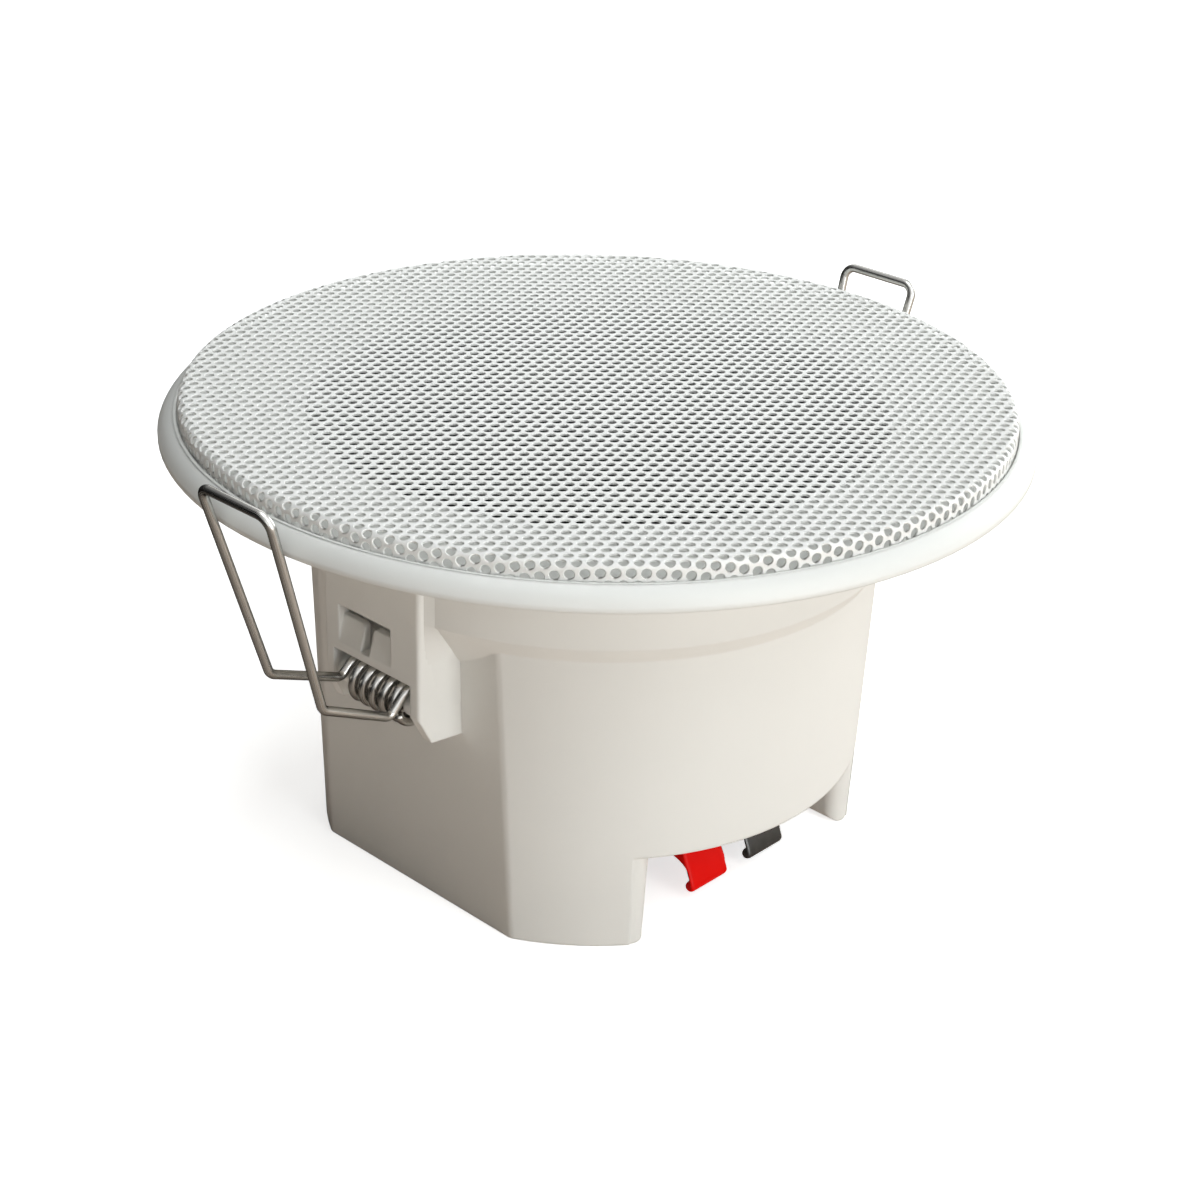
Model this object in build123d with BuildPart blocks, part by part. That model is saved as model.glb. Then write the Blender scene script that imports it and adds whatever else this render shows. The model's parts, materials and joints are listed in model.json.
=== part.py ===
from build123d import *
from math import cos, radians, sin, tan
import os

os.makedirs("parts", exist_ok=True)

# In-ceiling loudspeaker standing on its skirt with the grille up, in millimetres.
# Z is the axis of the driver, z = 0 is the foot of the skirt.
# The spring clips are on the X axis, and the terminal and its cable notch are on the -Y side.

# Housing shell, sized round the driver's opening
driver_opening_radius = 43.4
ledge_width = 6.8
collar_wall = 2.1
collar_step = 3.6
collar_base = 58.3
wall_draft = 1.6
wall_top = 55.2
wall = 2.4
flat_inset = 5.9
flat_draft = 2.5
flat_round = 2.5
collar_flat_depth = 3.6
collar_flat_height = 7.7
floor_low = 17.5
floor_thickness = 2.4
over = 2.0

# Flange and grille seat
flange_radius = 75.0
flange_low = 76.4
flange_thickness = 2.2
flange_edge = 0.7
lip_width = 0.6
lip_height = 1.3
bevel_width = 2.65
bevel_bulge = 0.45
grille_clearance = 0.25

# Grille
grille_height = 4.1
grille_sheet = 0.6
grille_corner = 1.2
opening_pitch = 11.6
opening_width = 7.4
opening_rows = 11
grille_border = 6.0

# Cable notch in the skirt, and the walls that turn inwards at its ends
notch_half_angle = 37.5
notch_post_radius = 2.5
notch_post_inset = 0.3
notch_post_draft = 2.0
notch_return = 8.0
notch_foot_round = 1.9

# Spring bracket, placed by the height of the coil that it carries
ear_drop = 5.4
ear_tip_inset = 2.4
ear_chamfer_height = 4.8
ear_depth = 8.2
ear_root_half = 13.2
ear_front_half = 11.5
ear_thickness = 2.1
ear_round = 0.7
ear_sink = 1.2
plate_gap = 0.75
plate_thickness = 2.4
pocket_head = 1.6
window_sill = 1.5
window_height = 7.0
window_half = 6.4
window_shift = 1.6
window_depth = 1.9
window_gap = 2.3
slot_half = 1.05
slot_round = 0.8
stud_clearance = 0.4
stud_length = 3.2

# Spring clip
wire_radius = 0.8
coil_radius = 3.55
coil_turns = 8
coil_pitch = 2.15
coil_clearance = 0.4
coil_height = 41.8
ridge_flat = 0.5
arm_start_half = 7.2
arm_bend_half = 6.5
arm_end_half = 8.2
back_arm_half = 5.0
back_bend_drop = 0.9
arm_reach = 19.0
arm_bend_rise = 6.9
arm_angle = 54.0
front_arm_rise = 0.4
clip_overhang = 3.8
clip_end_height = 84.3
clip_bend_radius = 2.2

# Driver seat and frame
ledge_depth = 3.2
ledge_thickness = 2.4
driver_clearance = 0.3
basket_sheet = 1.0
basket_opening_gap = 1.4
basket_depth = 23.4
spider_ledge_rise = 5.0
spider_ledge_radius = 27.6
spider_ledge_width = 4.2
basket_floor_radius = 20.8
basket_hole_radius = 12.5
basket_windows = 4
window_inner = 2.5
window_outer = 3.0
spoke_width = 9.0
screw_setback = 3.8
screw_count = 4

# Moving parts of the driver
surround_sheet = 0.6
surround_flange = 2.2
surround_lap = 2.0
surround_roll = 5.6
gasket_height = 1.3
cone_sheet = 0.7
cone_depth = 13.6
cone_neck = 2.0
former_radius = 9.9
former_sheet = 0.35
cap_radius = 12.2
cap_height = 4.2
cap_sheet = 0.6
spider_sheet = 0.5
spider_rolls = 4
spider_roll_height = 1.2
coil_length = 6.0
winding_thickness = 0.55

# Magnet system
gap_clearance = 0.55
top_plate_thickness = 3.0
top_plate_radius = 26.0
magnet_radius = 28.5
magnet_bore = 13.5
magnet_thickness = 10.0
yoke_plate = 3.6

# Solder tags on the basket
board_width = 14.0
board_length = 7.0
board_thickness = 1.2
tag_width = 3.0
tag_length = 10.0
tag_sheet = 0.5
tag_pitch = 7.0

# Screws
screw_radius = 1.4
screw_length = 10.0
screw_head_radius = 2.4
screw_head_height = 1.7
screw_hole_gap = 0.3
pilot_gap = 0.1
boss_radius = 3.1
boss_height = 9.0

# Push terminal
terminal_setback = 23.2
terminal_plate_length = 45.0
terminal_plate_inner = 9.5
terminal_plate_outer = 7.5
terminal_plate_thickness = 2.0
terminal_body_height = 8.8
terminal_wall = 2.4
terminal_front = 4.0
terminal_back = 8.0
terminal_screw_pitch = 38.0
lever_pitch = 15.2
lever_width = 9.4
lever_clearance = 0.3
lever_pivot_drop = 6.7
lever_stub_radius = 1.1
lever_stub_length = 1.3
stub_clearance = 0.2
lever_reach = 12.0
lever_drop = 8.4
lever_tip = 1.3
lever_top_reach = 8.0
lever_top_rise = 1.2
lever_back_rise = 2.4
lever_arm_reach = 5.5
lever_arm_drop = 3.6
lever_arc_reach = 9.5
lever_arc_drop = 4.8
lever_hook_drop = 7.2
lever_bead_radius = 1.0
contact_width = 5.0
contact_sheet = 0.5
contact_foot = 0.8
contact_tail = 8.0
contact_tongue = 3.4
contact_slot_gap = 0.4


# Levels and radii that follow from the sizes above
recess_radius = driver_opening_radius + ledge_width
collar_radius = recess_radius + collar_wall
base_radius = collar_radius - collar_step
flat_base = base_radius - flat_inset


def wall_radius(z):
    return base_radius + z * tan(radians(wall_draft))


def flat_x(z):
    return flat_base + z * tan(radians(flat_draft))


collar_flat = collar_radius - collar_flat_depth
collar_flat_top = collar_base + collar_flat_height
fade_run = collar_flat_depth + over
cone_start = flat_base / 2
baffle_z = flange_low + flange_thickness
lip_z = baffle_z + lip_height
seat_radius = flange_radius - bevel_width - lip_width
grille_radius = seat_radius - grille_clearance
grille_top = baffle_z + grille_height
ledge_z = baffle_z - ledge_depth
ledge_low = ledge_z - ledge_thickness
floor_top = floor_low + floor_thickness
coil_outer = coil_radius + wire_radius
coil_inner = coil_radius - wire_radius
ear_bottom = coil_height - ear_drop
plate_low = coil_height + coil_outer + plate_gap
window_low = plate_low + window_sill
window_high = window_low + window_height
pocket_top = window_high + pocket_head
pivot_x = flat_x(coil_height) + coil_clearance + coil_outer
ear_root_x = flat_x(ear_bottom) - ear_sink
ear_front_x = flat_x(ear_bottom) + ear_depth
rim_radius = recess_radius - driver_clearance
rim_top = ledge_z + basket_sheet
basket_radius = driver_opening_radius - basket_opening_gap
driver_screw_circle = driver_opening_radius + screw_setback
basket_low = ledge_z - basket_depth
spider_z = basket_low + spider_ledge_rise + basket_sheet
surround_outer = basket_radius + surround_flange
cone_radius = basket_radius - surround_roll
cone_low = rim_top - cone_depth
top_plate_bore = former_radius + winding_thickness + gap_clearance
pole_radius = former_radius - former_sheet - gap_clearance
plate_z = basket_low - top_plate_thickness
magnet_z = plate_z - magnet_thickness
yoke_z = magnet_z - yoke_plate
terminal_y = terminal_setback - base_radius
terminal_plate_z = floor_low - terminal_plate_thickness
terminal_low = terminal_plate_z - terminal_body_height
lever_pivot_z = floor_low - lever_pivot_drop
bay_width = lever_width + 2 * lever_clearance
stub_hole_length = bay_width + 2 * (lever_stub_length + lever_clearance)
bay_back = terminal_y + terminal_back - terminal_wall


def flat_outline(inset):
    # Side outline of what is taken off the wall outside one flat
    with BuildLine() as line:
        Polyline(
            (flat_x(-over) - inset, -over),
            (flat_x(collar_base) - inset, collar_base),
            (2 * collar_radius, collar_base),
            (2 * collar_radius, -over),
            close=True,
        )
    return line.line


def collar_flat_outline(inset):
    # Side outline of what is taken off the collar above a flat. It fades out below the driver's ledge.
    with BuildLine() as line:
        Polyline(
            (collar_flat - inset, 0),
            (collar_flat - inset, collar_flat_top),
            (collar_flat - inset + fade_run, collar_flat_top + fade_run),
            (2 * collar_radius, collar_flat_top + fade_run),
            (2 * collar_radius, 0),
            close=True,
        )
    return line.line


def cone_z(r, foot_radius, head_radius):
    # Height of the cone between the wall and the collar, which runs on inwards to the flats
    return wall_top + (r - foot_radius) * (collar_base - wall_top) / (head_radius - foot_radius)


# Spring bracket on the +X side: two tapered ears, a front plate with a ramped window, and coil studs
ear_taper = (ear_root_half - ear_front_half) / (ear_front_x - ear_root_x)


def ear_half(x):
    return ear_root_half - (x - ear_root_x) * ear_taper


def bracket_plan(x_from, x_to, inset):
    with BuildLine() as line:
        Polyline(
            (x_from, -ear_half(x_from) + inset),
            (x_to, -ear_half(x_to) + inset),
            (x_to, ear_half(x_to) - inset),
            (x_from, ear_half(x_from) - inset),
            close=True,
        )
    return line.line


with BuildPart() as bracket:
    with BuildSketch(Plane.XY.offset(ear_bottom)):
        make_face(bracket_plan(ear_root_x, ear_front_x, 0))
    extrude(amount=flange_low - ear_bottom)
    fillet(bracket.edges().filter_by(Axis.Z).group_by(Axis.X)[-1], ear_round)
    with BuildSketch(Plane.XZ):
        with BuildLine():
            Polyline(
                (ear_front_x - ear_tip_inset, ear_bottom),
                (ear_front_x, ear_bottom + ear_chamfer_height),
                (ear_front_x + over, ear_bottom + ear_chamfer_height),
                (ear_front_x + over, ear_bottom),
                close=True,
            )
        make_face()
    extrude(amount=2 * ear_root_half, both=True, mode=Mode.SUBTRACT)
    # Pocket behind the plate, then the open front below it where the coil shows
    plate_back = ear_front_x - plate_thickness
    with BuildSketch(Plane.XY.offset(ear_bottom)):
        make_face(bracket_plan(ear_root_x - over, plate_back, ear_thickness))
    extrude(amount=pocket_top - ear_bottom, mode=Mode.SUBTRACT)
    with BuildSketch(Plane.XY.offset(ear_bottom)):
        make_face(bracket_plan(plate_back - over, ear_front_x + over, ear_thickness))
    extrude(amount=plate_low - ear_bottom, mode=Mode.SUBTRACT)
    # Window: ramps that start flush at the bottom, with a gap above them and a slot between them
    with BuildSketch(Plane.XZ.offset(window_shift)):
        with BuildLine():
            Polyline(
                (ear_front_x, window_low),
                (ear_front_x - window_depth, window_high),
                (ear_front_x + over, window_high),
                (ear_front_x + over, window_low),
                close=True,
            )
        make_face()
    extrude(amount=window_half, both=True, mode=Mode.SUBTRACT)
    with BuildSketch(Plane.YZ.offset(plate_back - over)) as slot:
        with Locations((-window_shift, window_high - window_gap / 2)):
            Rectangle(2 * window_half, window_gap)
        with Locations((-window_shift, (window_low + window_high) / 2)):
            Rectangle(2 * slot_half, window_high - window_low)
        fillet(slot.vertices().group_by(Axis.Y)[1].sort_by(Axis.X)[1:3], slot_round)
    extrude(amount=plate_thickness + 2 * over, mode=Mode.SUBTRACT)
    # Studs that carry the coil, one on the inside of each ear
    stud_root = ear_half(pivot_x) - ear_thickness / 2
    for side in (-1, 1):
        with BuildSketch(Plane.XZ.offset(side * stud_root)):
            with Locations((pivot_x, coil_height)):
                Circle(coil_inner - stud_clearance)
        extrude(amount=-side * (stud_length + ear_thickness / 2))


# Inside of the shell above and below the floor, with the driver opening
with BuildPart() as cavity:
    with BuildSketch(Plane.XZ):
        with BuildLine():
            Polyline(
                (0, -over),
                (wall_radius(-over) - wall, -over),
                (wall_radius(wall_top) - wall, wall_top),
                (0, wall_top),
                close=True,
            )
        make_face()
    revolve(axis=Axis.Z)
    with BuildSketch(Plane.XZ):
        make_face(flat_outline(wall))
        mirror(about=Plane.YZ)
    extrude(amount=2 * collar_radius, both=True, mode=Mode.SUBTRACT)
    with BuildSketch(Plane.XZ):
        with BuildLine():
            Polyline(
                (0, cone_z(cone_start, wall_radius(wall_top) - wall, recess_radius)),
                (cone_start, cone_z(cone_start, wall_radius(wall_top) - wall, recess_radius)),
                (recess_radius, collar_base),
                (recess_radius, ledge_low),
                (driver_opening_radius, ledge_low),
                (driver_opening_radius, ledge_z),
                (recess_radius, ledge_z),
                (recess_radius, baffle_z),
                (0, baffle_z),
                close=True,
            )
        make_face()
    revolve(axis=Axis.Z)
    with BuildSketch(Plane.XZ):
        make_face(collar_flat_outline(wall))
        mirror(about=Plane.YZ)
    extrude(amount=2 * collar_radius, both=True, mode=Mode.SUBTRACT)
    with BuildSketch(Plane.XY.offset(floor_low)):
        Circle(2 * collar_radius)
    extrude(amount=floor_thickness, mode=Mode.SUBTRACT)


# Housing: one moulded shell from the flange lip down to the foot of the skirt
notch_post_circle = base_radius - notch_post_radius - notch_post_inset
notch_post_x = notch_post_circle * sin(radians(notch_half_angle))
notch_post_y = -notch_post_circle * cos(radians(notch_half_angle))
notch_side_x = notch_post_x - notch_post_radius
post_angle = 90 - notch_half_angle
with BuildPart() as housing:
    with BuildSketch(Plane.XZ):
        with BuildLine():
            Polyline(
                (0, 0),
                (base_radius, 0),
                (wall_radius(wall_top), wall_top),
                (0, wall_top),
                close=True,
            )
        make_face()
    revolve(axis=Axis.Z)
    with BuildSketch(Plane.XZ):
        make_face(flat_outline(0))
        mirror(about=Plane.YZ)
    extrude(amount=2 * collar_radius, both=True, mode=Mode.SUBTRACT)
    # Soft upright edges where the flats meet the round wall
    corner_y = (base_radius * base_radius - flat_base * flat_base) ** 0.5
    uprights = housing.edges().filter_by_position(Axis.Z, wall_top / 4, wall_top * 3 / 4)
    fillet(uprights.filter_by(lambda e: abs(abs(e.center().Y) - corner_y) < flat_inset), flat_round)
    # Cone, collar and flange
    with BuildSketch(Plane.XZ):
        with BuildLine():
            Polyline(
                (0, cone_z(cone_start, wall_radius(wall_top), collar_radius)),
                (cone_start, cone_z(cone_start, wall_radius(wall_top), collar_radius)),
                (collar_radius, collar_base),
                (collar_radius, flange_low),
                (flange_radius, flange_low),
                (flange_radius, flange_low + flange_edge),
            )
            bevel_shift = bevel_bulge * cos(radians(45)) - bevel_width / 2
            ThreePointArc(
                (flange_radius, flange_low + flange_edge),
                (flange_radius + bevel_shift, flange_low + flange_edge + bevel_width + bevel_shift),
                (flange_radius - bevel_width, flange_low + flange_edge + bevel_width),
            )
            Polyline(
                (flange_radius - bevel_width, flange_low + flange_edge + bevel_width),
                (flange_radius - bevel_width, lip_z),
                (seat_radius, lip_z),
                (seat_radius, baffle_z),
                (recess_radius, baffle_z),
                (recess_radius, ledge_z),
                (0, ledge_z),
                (0, cone_z(cone_start, wall_radius(wall_top), collar_radius)),
            )
        make_face()
    revolve(axis=Axis.Z)
    with BuildSketch(Plane.XZ):
        make_face(collar_flat_outline(0))
        mirror(about=Plane.YZ)
    extrude(amount=2 * collar_radius, both=True, mode=Mode.SUBTRACT)
    with PolarLocations(0, 2):
        add(bracket.part)
    add(cavity.part, mode=Mode.SUBTRACT)
    # Cable notch through the front of the skirt. At each end the wall turns inwards on a rounded corner.
    with BuildSketch(Plane.XY):
        with BuildLine():
            reach = 2 * base_radius * cos(radians(post_angle))
            depth = -2 * base_radius * sin(radians(post_angle))
            Polyline((0, 0), (-reach, depth), (reach, depth), close=True)
        make_face()
    extrude(amount=floor_low, mode=Mode.SUBTRACT)
    with BuildSketch(Plane.XY):
        with BuildLine():
            CenterArc((notch_post_x, notch_post_y), notch_post_radius, 180, 180)
            Polyline(
                (notch_post_x + notch_post_radius, notch_post_y),
                (notch_side_x + wall, notch_post_y),
                (notch_side_x + wall, notch_post_y + notch_return),
                (notch_side_x, notch_post_y + notch_return),
                (notch_side_x, notch_post_y),
            )
        make_face()
        mirror(about=Plane.YZ)
    extrude(amount=floor_low, taper=-notch_post_draft)
    # Rounded foot of those walls, with its arc tangent to the drafted side
    foot_run = notch_foot_round * (1 / cos(radians(notch_post_draft)) - tan(radians(notch_post_draft)))
    foot_top = notch_foot_round * (1 - sin(radians(notch_post_draft)))
    foot_x = notch_side_x + foot_run
    with BuildSketch(Plane.XZ):
        with BuildLine():
            foot_arc = CenterArc(
                (foot_x, notch_foot_round),
                notch_foot_round,
                180 + notch_post_draft,
                90 - notch_post_draft,
            )
            Polyline(
                foot_arc @ 1,
                (foot_x, -over),
                (notch_side_x - over, -over),
                (notch_side_x - over, foot_top),
                foot_arc @ 0,
            )
        make_face()
        mirror(about=Plane.YZ)
    extrude(amount=2 * base_radius, mode=Mode.SUBTRACT)
    # Bosses for the driver screws under the ledge and for the terminal screws on the floor
    with BuildSketch(Plane.XY.offset(ledge_low)):
        with PolarLocations(driver_screw_circle, screw_count, start_angle=45):
            Circle(boss_radius)
    extrude(amount=-boss_height)
    with BuildSketch(Plane.XY.offset(floor_top)):
        with Locations((-terminal_screw_pitch / 2, terminal_y), (terminal_screw_pitch / 2, terminal_y)):
            Circle(boss_radius)
    extrude(amount=boss_height)
    with BuildSketch(Plane.XY.offset(ledge_z)):
        with PolarLocations(driver_screw_circle, screw_count, start_angle=45):
            Circle(screw_radius + pilot_gap)
    extrude(amount=-screw_length, mode=Mode.SUBTRACT)
    with BuildSketch(Plane.XY.offset(floor_low)):
        with Locations((-terminal_screw_pitch / 2, terminal_y), (terminal_screw_pitch / 2, terminal_y)):
            Circle(screw_radius + pilot_gap)
    extrude(amount=screw_length, mode=Mode.SUBTRACT)
    # Slots that let the two contact tags through the floor
    with BuildSketch(Plane.XY.offset(floor_low)):
        with Locations((-lever_pitch / 2, bay_back), (lever_pitch / 2, bay_back)):
            Rectangle(contact_width + 2 * contact_slot_gap, 2 * (contact_sheet + contact_slot_gap))
    extrude(amount=floor_thickness, mode=Mode.SUBTRACT)

housing.part.label = "housing"
export_step(housing.part, "parts/housing.step")


# Grille: pressed dish that stands on the baffle inside the flange lip, with coarse openings
with BuildPart() as grille:
    with BuildSketch(Plane.XZ):
        with BuildLine():
            Polyline((0, grille_top), (grille_radius, grille_top), (grille_radius, baffle_z))
            Polyline((grille_radius, baffle_z), (grille_radius - grille_sheet, baffle_z))
            Polyline(
                (grille_radius - grille_sheet, baffle_z),
                (grille_radius - grille_sheet, grille_top - grille_sheet),
                (0, grille_top - grille_sheet),
                (0, grille_top),
            )
        make_face()
    revolve(axis=Axis.Z)
    fillet(grille.edges().group_by(Axis.Z)[-1], grille_corner)
    under_face = grille_top - grille_sheet
    fillet(grille.edges().filter_by_position(Axis.Z, under_face, under_face), grille_corner - grille_sheet)
    with BuildSketch(Plane.XY.offset(grille_top)):
        half_rows = opening_rows // 2
        for row in range(-half_rows, half_rows + 1):
            for column in range(-opening_rows, opening_rows + 1):
                x = (column + row % 2 / 2) * opening_pitch
                y = row * opening_pitch * sin(radians(60))
                if (x * x + y * y) ** 0.5 + opening_width / 2 < grille_radius - grille_border:
                    with Locations((x, y)):
                        RegularPolygon(opening_width / 2, 6, major_radius=False, rotation=30)
    extrude(amount=-2 * grille_sheet, mode=Mode.SUBTRACT)

grille.part.label = "grille"
export_step(grille.part, "parts/grille.step")


# Basket: pressed steel frame of the driver, with a rim on the ledge and a shelf for the spider
basket_skew = 0.6 * basket_sheet
with BuildPart() as basket:
    with BuildSketch(Plane.XZ):
        with BuildLine():
            Polyline(
                (rim_radius, ledge_z),
                (rim_radius, rim_top),
                (basket_radius - basket_skew, rim_top),
                (spider_ledge_radius, spider_z),
                (spider_ledge_radius - spider_ledge_width, spider_z),
                (basket_floor_radius, basket_low + basket_sheet),
                (basket_hole_radius, basket_low + basket_sheet),
                (basket_hole_radius, basket_low),
                (basket_floor_radius + basket_skew, basket_low),
                (spider_ledge_radius - spider_ledge_width + basket_skew, spider_z - basket_sheet),
                (spider_ledge_radius + basket_skew, spider_z - basket_sheet),
                (basket_radius, ledge_z),
                close=True,
            )
        make_face()
    revolve(axis=Axis.Z)
    # Openings in the cone between the spokes
    with BuildSketch(Plane.XY.offset(basket_low)):
        Circle(basket_radius - window_outer)
        Circle(spider_ledge_radius + window_inner, mode=Mode.SUBTRACT)
        with PolarLocations(0, basket_windows // 2, angular_range=180):
            Rectangle(2 * basket_radius, spoke_width, mode=Mode.SUBTRACT)
    extrude(amount=basket_depth, mode=Mode.SUBTRACT)
    with BuildSketch(Plane.XY.offset(ledge_z)):
        with PolarLocations(driver_screw_circle, screw_count, start_angle=45):
            Circle(screw_radius + screw_hole_gap)
    extrude(amount=basket_sheet, mode=Mode.SUBTRACT)

basket.part.label = "basket"
export_step(basket.part, "parts/basket.step")


# Surround: rubber half roll between the cone and the basket rim
roll_radius = surround_roll / 2
with BuildPart() as surround:
    with BuildSketch(Plane.XZ):
        with Locations((basket_radius - roll_radius, rim_top)):
            Circle(roll_radius)
            Circle(roll_radius - surround_sheet, mode=Mode.SUBTRACT)
        with Locations((basket_radius - roll_radius, rim_top - roll_radius)):
            Rectangle(3 * surround_roll, 2 * roll_radius, mode=Mode.SUBTRACT)
        with Locations((basket_radius - surround_sheet, rim_top)):
            Rectangle(surround_sheet + surround_flange, surround_sheet, align=(Align.MIN, Align.MIN))
        with Locations((cone_radius - surround_lap, rim_top)):
            Rectangle(surround_lap + surround_sheet, surround_sheet, align=(Align.MIN, Align.MIN))
    revolve(axis=Axis.Z)

surround.part.label = "surround"
export_step(surround.part, "parts/surround.step")


# Gasket: ring on the flange of the surround
gasket_z = rim_top + surround_sheet
with BuildPart() as gasket:
    with BuildSketch(Plane.XY.offset(gasket_z)):
        Circle(surround_outer)
        Circle(basket_radius + surround_sheet / 2, mode=Mode.SUBTRACT)
    extrude(amount=gasket_height)

gasket.part.label = "gasket"
export_step(gasket.part, "parts/gasket.step")


# Cone: paper, with a flat rim under the surround and a neck round the former
cone_edge = cone_radius - surround_lap
cone_rise = (rim_top - cone_low - cone_sheet) / (cone_edge - former_radius)


def cone_top(r):
    return cone_low + cone_sheet + (r - former_radius) * cone_rise


with BuildPart() as cone:
    with BuildSketch(Plane.XZ):
        with BuildLine():
            Polyline(
                (cone_radius, rim_top),
                (cone_edge, rim_top),
                (former_radius, cone_low + cone_sheet),
                (former_radius, cone_low - cone_neck),
                (former_radius + cone_sheet, cone_low - cone_neck),
                (former_radius + cone_sheet, cone_low),
                (cone_edge + cone_sheet / 2, rim_top - cone_sheet),
                (cone_radius, rim_top - cone_sheet),
                close=True,
            )
        make_face()
    revolve(axis=Axis.Z)

cone.part.label = "cone"
export_step(cone.part, "parts/cone.step")


# Dust cap: shallow dome that stands on the cone
cap_inner = cap_radius - cap_sheet


def dome_mid(radius, low, high):
    curve = (radius * radius + (high - low) ** 2) / (2 * (high - low))
    return (radius / 2, high - curve + (curve * curve - radius * radius / 4) ** 0.5)


cap_top = cone_top(cap_radius) + cap_height
with BuildPart() as dust_cap:
    with BuildSketch(Plane.XZ):
        with BuildLine():
            ThreePointArc(
                (cap_radius, cone_top(cap_radius)),
                dome_mid(cap_radius, cone_top(cap_radius), cap_top),
                (0, cap_top),
            )
            Line((0, cap_top), (0, cap_top - cap_sheet))
            ThreePointArc(
                (0, cap_top - cap_sheet),
                dome_mid(cap_inner, cone_top(cap_inner), cap_top - cap_sheet),
                (cap_inner, cone_top(cap_inner)),
            )
            Line((cap_inner, cone_top(cap_inner)), (cap_radius, cone_top(cap_radius)))
        make_face()
    revolve(axis=Axis.Z)

dust_cap.part.label = "dust_cap"
export_step(dust_cap.part, "parts/dust_cap.step")


# Voice coil former and winding, centred in the magnet gap
coil_middle = plate_z + top_plate_thickness / 2
coil_low = coil_middle - coil_length / 2
with BuildPart() as voice_coil_former:
    with BuildSketch(Plane.XY.offset(coil_low)):
        Circle(former_radius)
        Circle(former_radius - former_sheet, mode=Mode.SUBTRACT)
    extrude(amount=cone_low + cone_sheet - coil_low)

voice_coil_former.part.label = "voice_coil_former"
export_step(voice_coil_former.part, "parts/voice_coil_former.step")

with BuildPart() as voice_coil:
    with BuildSketch(Plane.XY.offset(coil_low)):
        Circle(former_radius + winding_thickness)
        Circle(former_radius, mode=Mode.SUBTRACT)
    extrude(amount=coil_length)

voice_coil.part.label = "voice_coil"
export_step(voice_coil.part, "parts/voice_coil.step")


# Spider: corrugated cloth from the former to the shelf of the basket
spider_radius = spider_ledge_radius - driver_clearance
spider_lap = spider_ledge_radius - spider_ledge_width
spider_start = former_radius + spider_ledge_width / 2
roll_pitch = (spider_lap - spider_start) / spider_rolls
with BuildPart() as spider:
    with BuildSketch(Plane.XZ):
        with BuildLine():
            under = [(former_radius, spider_z), (spider_start, spider_z)]
            for roll in range(spider_rolls):
                crest = spider_start + (roll + 0.5) * roll_pitch
                under += [(crest, spider_z + spider_roll_height), (crest + roll_pitch / 2, spider_z)]
            under += [(spider_radius, spider_z)]
            upper = [(r, z + spider_sheet) for r, z in reversed(under)]
            Polyline(*under, *upper, close=True)
        make_face()
    revolve(axis=Axis.Z)

spider.part.label = "spider"
export_step(spider.part, "parts/spider.step")


# Magnet system under the basket
with BuildPart() as top_plate:
    with BuildSketch(Plane.XY.offset(plate_z)):
        Circle(top_plate_radius)
        Circle(top_plate_bore, mode=Mode.SUBTRACT)
    extrude(amount=top_plate_thickness)

top_plate.part.label = "top_plate"
export_step(top_plate.part, "parts/top_plate.step")

with BuildPart() as magnet:
    with BuildSketch(Plane.XY.offset(magnet_z)):
        Circle(magnet_radius)
        Circle(magnet_bore, mode=Mode.SUBTRACT)
    extrude(amount=magnet_thickness)

magnet.part.label = "magnet"
export_step(magnet.part, "parts/magnet.step")

with BuildPart() as yoke:
    with BuildSketch(Plane.XY.offset(yoke_z)):
        Circle(top_plate_radius)
    extrude(amount=yoke_plate)
    with BuildSketch(Plane.XY.offset(magnet_z)):
        Circle(pole_radius)
    extrude(amount=magnet_thickness + top_plate_thickness)

yoke.part.label = "yoke"
export_step(yoke.part, "parts/yoke.step")


# Tag board with two solder tags, flat against the -Y spoke of the basket
slope_run = basket_radius - spider_ledge_radius - basket_skew
slope_rise = ledge_z - spider_z + basket_sheet
board_plane = Plane(
    origin=(0, -basket_radius + slope_run / 2, ledge_z - slope_rise / 2),
    x_dir=(1, 0, 0),
    z_dir=(0, -slope_rise, -slope_run),
)
with BuildPart() as tag_board:
    with BuildSketch(board_plane):
        Rectangle(board_width, board_length)
    extrude(amount=board_thickness)

tag_board.part.label = "tag_board"
export_step(tag_board.part, "parts/tag_board.step")

with BuildPart() as solder_tags:
    with BuildSketch(board_plane.offset(board_thickness)):
        with GridLocations(tag_pitch, 0, 2, 1):
            Rectangle(tag_width, tag_length)
    extrude(amount=tag_sheet)

solder_tags.part.label = "solder_tags"
export_step(solder_tags.part, "parts/solder_tags.step")


# Screws that hold the basket to the ledge
with BuildPart() as driver_screws:
    with BuildSketch(Plane.XY.offset(rim_top)):
        with PolarLocations(driver_screw_circle, screw_count, start_angle=45):
            Circle(screw_head_radius)
    extrude(amount=screw_head_height)
    with BuildSketch(Plane.XY.offset(rim_top)):
        with PolarLocations(driver_screw_circle, screw_count, start_angle=45):
            Circle(screw_radius)
    extrude(amount=-screw_length)

driver_screws.part.label = "driver_screws"
export_step(driver_screws.part, "parts/driver_screws.step")


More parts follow.
